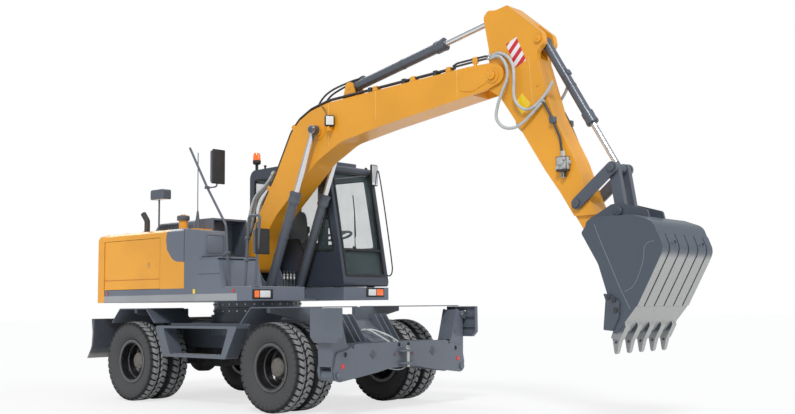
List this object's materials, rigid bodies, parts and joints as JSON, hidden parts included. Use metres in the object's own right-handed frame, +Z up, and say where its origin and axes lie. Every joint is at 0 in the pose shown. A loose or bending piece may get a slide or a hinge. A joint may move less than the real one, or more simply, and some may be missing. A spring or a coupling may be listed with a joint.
{
  "type": "wheeled excavator",
  "caption": "Wheeled excavator with twin tyres, slewing upper body and cab, bent boom, arm and digging bucket, folding outriggers in front and a blade behind.",
  "frame": {"origin": "on the ground under the middle of the machine's overall length, on its centre line", "axes": "+X forward towards the boom and bucket, +Y to the machine's left, the cab side, +Z up"},
  "size_m": [8.5707, 2.5, 4.5181],
  "materials": {
    "yellow_paint": "semi-gloss machine enamel, lightly dusty",
    "grey_paint": "satin dark slate-grey enamel",
    "cab_paint": "satin slate-grey enamel",
    "bucket_steel": "dark enamel worn on the cutting edges",
    "axle_iron": "dark painted casting",
    "rod_chrome": "polished cylinder rod",
    "tyre_rubber": "dusty black rubber",
    "rim_steel": "black painted rim with a grey hub",
    "window_glass": "clear glass with a green tint",
    "seat_fabric": "dark woven seat cover",
    "cab_plastic": "grained dark plastic"
  },
  "bodies": {
    "chassis": {"chassis_frame": "grey_paint", "front_axle_housing": "axle_iron", "rear_axle_housing": "axle_iron", "side_steps": "grey_paint", "fenders": "grey_paint", "outrigger_beam": "grey_paint"},
    "knuckle_left": {"knuckle_left": "axle_iron"},
    "wheel_front_left": {"tyres_front_left": "tyre_rubber", "rims_front_left": "rim_steel"},
    "wheel_rear_left": {"tyres_rear_left": "tyre_rubber", "rims_rear_left": "rim_steel"},
    "knuckle_right": {"knuckle_right": "axle_iron"},
    "wheel_front_right": {"tyres_front_right": "tyre_rubber", "rims_front_right": "rim_steel"},
    "wheel_rear_right": {"tyres_rear_right": "tyre_rubber", "rims_rear_right": "rim_steel"},
    "track_rod": {"track_rod": "axle_iron"},
    "upper": {"upper_frame": "grey_paint", "counterweight": "yellow_paint", "body_panels": "yellow_paint", "exhaust": "grey_paint", "engine_block": "axle_iron", "fuel_tank": "grey_paint", "handrails": "grey_paint", "cab_frame": "cab_paint", "cab_glass": "window_glass", "driver_seat": "seat_fabric", "cab_console": "cab_plastic"},
    "engine_hood": {"engine_hood": "grey_paint"},
    "right_service_door": {"right_service_door": "yellow_paint"},
    "left_service_door": {"left_service_door": "yellow_paint"},
    "cab_door": {"cab_door": "cab_paint", "cab_door_glass": "window_glass"},
    "roof_hatch": {"roof_hatch": "cab_paint"},
    "boom": {"boom": "yellow_paint", "boom_lines": "grey_paint"},
    "arm": {"arm": "yellow_paint", "arm_lines": "grey_paint"},
    "boom_barrels": {"boom_barrels": "grey_paint"},
    "boom_rods": {"boom_rods": "rod_chrome"},
    "arm_barrel": {"arm_barrel": "grey_paint"},
    "arm_rod": {"arm_rod": "rod_chrome"},
    "bucket_barrel": {"bucket_barrel": "grey_paint"},
    "bucket_rod": {"bucket_rod": "rod_chrome"},
    "lever_links": {"lever_links": "bucket_steel"},
    "bucket_link": {"bucket_link": "bucket_steel"},
    "bucket": {"bucket": "bucket_steel"},
    "outrigger_leg_left": {"outrigger_leg_left": "grey_paint"},
    "outrigger_pad_left": {"outrigger_pad_left": "grey_paint"},
    "outrigger_barrel_left": {"outrigger_barrel_left": "grey_paint"},
    "outrigger_rod_left": {"outrigger_rod_left": "rod_chrome"},
    "outrigger_leg_right": {"outrigger_leg_right": "grey_paint"},
    "outrigger_pad_right": {"outrigger_pad_right": "grey_paint"},
    "outrigger_barrel_right": {"outrigger_barrel_right": "grey_paint"},
    "outrigger_rod_right": {"outrigger_rod_right": "rod_chrome"},
    "blade": {"blade": "bucket_steel"},
    "blade_lower_arms": {"blade_lower_arms": "grey_paint"},
    "blade_upper_links": {"blade_upper_links": "grey_paint"},
    "blade_barrels": {"blade_barrels": "grey_paint"},
    "blade_rods": {"blade_rods": "rod_chrome"}
  },
  "joints": [
    {"name": "steer_left", "type": "hinge", "parent": "chassis", "child": "knuckle_left", "pos_m": [-0.3685, 0.66, 0.525], "axis": [0, 0, 1], "range_deg": [-28, 28]},
    {"name": "roll_front_left", "type": "hinge", "parent": "knuckle_left", "child": "wheel_front_left", "pos_m": [-0.3685, 0.9525, 0.525], "axis": [0, 1, 0], "continuous": true},
    {"name": "roll_rear_left", "type": "hinge", "parent": "chassis", "child": "wheel_rear_left", "pos_m": [-3.1485, 0.9525, 0.525], "axis": [0, 1, 0], "continuous": true},
    {"name": "steer_right", "type": "hinge", "parent": "chassis", "child": "knuckle_right", "pos_m": [-0.3685, -0.66, 0.525], "axis": [0, 0, 1], "range_deg": [-28, 28]},
    {"name": "roll_front_right", "type": "hinge", "parent": "knuckle_right", "child": "wheel_front_right", "pos_m": [-0.3685, -0.9525, 0.525], "axis": [0, 1, 0], "continuous": true},
    {"name": "roll_rear_right", "type": "hinge", "parent": "chassis", "child": "wheel_rear_right", "pos_m": [-3.1485, -0.9525, 0.525], "axis": [0, 1, 0], "continuous": true},
    {"name": "track_rod_slide", "type": "slide", "parent": "chassis", "child": "track_rod", "axis": [0, 1, 0], "range_m": [-0.0978, 0.0978]},
    {"name": "slew", "type": "hinge", "parent": "chassis", "child": "upper", "pos_m": [-1.9885, 0, 1.222], "axis": [0, 0, 1], "continuous": true},
    {"name": "engine_hood_hinge", "type": "hinge", "parent": "upper", "child": "engine_hood", "pos_m": [-3.2825, 0, 2.263], "axis": [0, -1, 0], "range_deg": [0, 60]},
    {"name": "right_service_door_hinge", "type": "hinge", "parent": "upper", "child": "right_service_door", "pos_m": [-3.7505, -1.234, 1.815], "axis": [0, 0, -1], "range_deg": [0, 100]},
    {"name": "left_service_door_hinge", "type": "hinge", "parent": "upper", "child": "left_service_door", "pos_m": [-3.7505, 1.234, 1.815], "axis": [0, 0, 1], "range_deg": [0, 100]},
    {"name": "cab_door_hinge", "type": "hinge", "parent": "upper", "child": "cab_door", "pos_m": [-1.9455, 1.232, 2.28], "axis": [0, 0, 1], "range_deg": [0, 100]},
    {"name": "roof_hatch_hinge", "type": "hinge", "parent": "upper", "child": "roof_hatch", "pos_m": [-1.8725, 0.79, 3.2092], "axis": [0, -1, 0], "range_deg": [0, 70]},
    {"name": "boom_lift", "type": "hinge", "parent": "upper", "child": "boom", "pos_m": [-1.9585, 0, 1.79], "axis": [0, -1, 0], "range_deg": [-55, 34]},
    {"name": "boom_barrels_pivot", "type": "hinge", "parent": "upper", "child": "boom_barrels", "pos_m": [-1.4685, 0, 1.42], "axis": [0, 1, 0], "range_deg": [-33.5, 54.1]},
    {"name": "boom_rods_slide", "type": "slide", "parent": "boom_barrels", "child": "boom_rods", "axis": [0.383, 0, 0.9237], "range_m": [-0.5487, 0.3393]},
    {"name": "arm_swing", "type": "hinge", "parent": "boom", "child": "arm", "pos_m": [2.1315, 0, 3.75], "axis": [0, 1, 0], "range_deg": [-56, 58]},
    {"name": "arm_barrel_pivot", "type": "hinge", "parent": "boom", "child": "arm_barrel", "pos_m": [-0.1505, 0, 3.981], "axis": [0, 1, 0], "range_deg": [-2.3, 2.38]},
    {"name": "arm_rod_slide", "type": "slide", "parent": "arm_barrel", "child": "arm_rod", "axis": [0.98, 0, 0.1989], "range_m": [-0.5955, 0.6165]},
    {"name": "bucket_curl", "type": "hinge", "parent": "arm", "child": "bucket", "pos_m": [3.3215, 0, 1.985], "axis": [0, 1, 0], "range_deg": [-55, 115]},
    {"name": "lever_pivot", "type": "hinge", "parent": "arm", "child": "lever_links", "pos_m": [3.1575, 0, 2.255], "axis": [0, 1, 0], "range_deg": [-32.5, 68]},
    {"name": "link_pivot", "type": "hinge", "parent": "bucket", "child": "bucket_link", "pos_m": [3.6415, 0, 2.143], "axis": [0, 1, 0], "range_deg": [-82.9, 39.7]},
    {"name": "bucket_barrel_pivot", "type": "hinge", "parent": "arm", "child": "bucket_barrel", "pos_m": [2.7185, 0, 4.066], "axis": [0, 1, 0], "range_deg": [-1.8, 3.6]},
    {"name": "bucket_rod_slide", "type": "slide", "parent": "bucket_barrel", "child": "bucket_rod", "axis": [0.5004, 0, -0.8658], "range_m": [-0.2735, 0.5705]},
    {"name": "outrigger_left", "type": "hinge", "parent": "chassis", "child": "outrigger_leg_left", "pos_m": [0.505, 1.105, 0.463], "axis": [-1, 0, 0], "range_deg": [0, 128]},
    {"name": "pad_tilt_left", "type": "hinge", "parent": "outrigger_leg_left", "child": "outrigger_pad_left", "pos_m": [0.505, 1.15, 1.112], "axis": [-1, 0, 0], "range_deg": [-38.1, 0.1]},
    {"name": "outrigger_barrel_pivot_left", "type": "hinge", "parent": "chassis", "child": "outrigger_barrel_left", "pos_m": [0.5435, -0.25, 0.64], "axis": [-1, 0, 0], "range_deg": [-0.1, 2.6]},
    {"name": "outrigger_rod_slide_left", "type": "slide", "parent": "outrigger_barrel_left", "child": "outrigger_rod_left", "axis": [0, 0.9967, 0.0807], "range_m": [0, 0.7565]},
    {"name": "outrigger_right", "type": "hinge", "parent": "chassis", "child": "outrigger_leg_right", "pos_m": [0.505, -1.105, 0.463], "axis": [1, 0, 0], "range_deg": [0, 128]},
    {"name": "pad_tilt_right", "type": "hinge", "parent": "outrigger_leg_right", "child": "outrigger_pad_right", "pos_m": [0.505, -1.15, 1.112], "axis": [1, 0, 0], "range_deg": [-38.1, 0.1]},
    {"name": "outrigger_barrel_pivot_right", "type": "hinge", "parent": "chassis", "child": "outrigger_barrel_right", "pos_m": [0.4645, 0.25, 0.64], "axis": [1, 0, 0], "range_deg": [-0.1, 2.6]},
    {"name": "outrigger_rod_slide_right", "type": "slide", "parent": "outrigger_barrel_right", "child": "outrigger_rod_right", "axis": [0, -0.9967, 0.0807], "range_m": [0, 0.7565]},
    {"name": "blade_lower", "type": "hinge", "parent": "chassis", "child": "blade_lower_arms", "pos_m": [-3.3685, 0, 0.56], "axis": [0, -1, 0], "range_deg": [0, 55]},
    {"name": "blade_upper_link_pivot", "type": "hinge", "parent": "chassis", "child": "blade_upper_links", "pos_m": [-3.3685, 0, 0.8], "axis": [0, -1, 0], "range_deg": [-0.1, 55.1]},
    {"name": "blade_level", "type": "hinge", "parent": "blade_lower_arms", "child": "blade", "pos_m": [-3.9685, 0, 0.72], "axis": [0, -1, 0], "range_deg": [-55.1, 0.1]},
    {"name": "blade_barrels_pivot", "type": "hinge", "parent": "chassis", "child": "blade_barrels", "pos_m": [-3.3685, 0, 1], "axis": [0, -1, 0], "range_deg": [-0.1, 26.1]},
    {"name": "blade_rods_slide", "type": "slide", "parent": "blade_barrels", "child": "blade_rods", "axis": [-0.7683, 0, -0.6401], "range_m": [0, 0.2715]}
  ],
  "couplings": [
    {"joint": "steer_right", "follows": "steer_left", "ratio": 1},
    {"joint": "track_rod_slide", "follows": "steer_left", "m_per_rad": -0.2},
    {"joint": "boom_barrels_pivot", "follows": "boom_lift", "ratio": -0.9822},
    {"joint": "boom_rods_slide", "follows": "boom_lift", "m_per_rad": 0.5714},
    {"joint": "arm_barrel_pivot", "follows": "arm_swing", "ratio": 0.0408},
    {"joint": "arm_rod_slide", "follows": "arm_swing", "m_per_rad": 0.6079},
    {"joint": "lever_pivot", "follows": "bucket_curl", "ratio": 0.5881},
    {"joint": "link_pivot", "follows": "bucket_curl", "ratio": -0.72},
    {"joint": "bucket_barrel_pivot", "follows": "bucket_curl", "ratio": 0.0297},
    {"joint": "bucket_rod_slide", "follows": "bucket_curl", "m_per_rad": 0.2835},
    {"joint": "pad_tilt_left", "follows": "outrigger_left", "ratio": -0.29688},
    {"joint": "outrigger_barrel_pivot_left", "follows": "outrigger_left", "ratio": 0.0189},
    {"joint": "outrigger_rod_slide_left", "follows": "outrigger_left", "m_per_rad": 0.3378},
    {"joint": "pad_tilt_right", "follows": "outrigger_right", "ratio": -0.29688},
    {"joint": "outrigger_barrel_pivot_right", "follows": "outrigger_right", "ratio": 0.0189},
    {"joint": "outrigger_rod_slide_right", "follows": "outrigger_right", "m_per_rad": 0.3378},
    {"joint": "blade_upper_link_pivot", "follows": "blade_lower", "ratio": 1},
    {"joint": "blade_level", "follows": "blade_lower", "ratio": -1},
    {"joint": "blade_barrels_pivot", "follows": "blade_lower", "ratio": 0.4717},
    {"joint": "blade_rods_slide", "follows": "blade_lower", "m_per_rad": 0.2811}
  ]
}
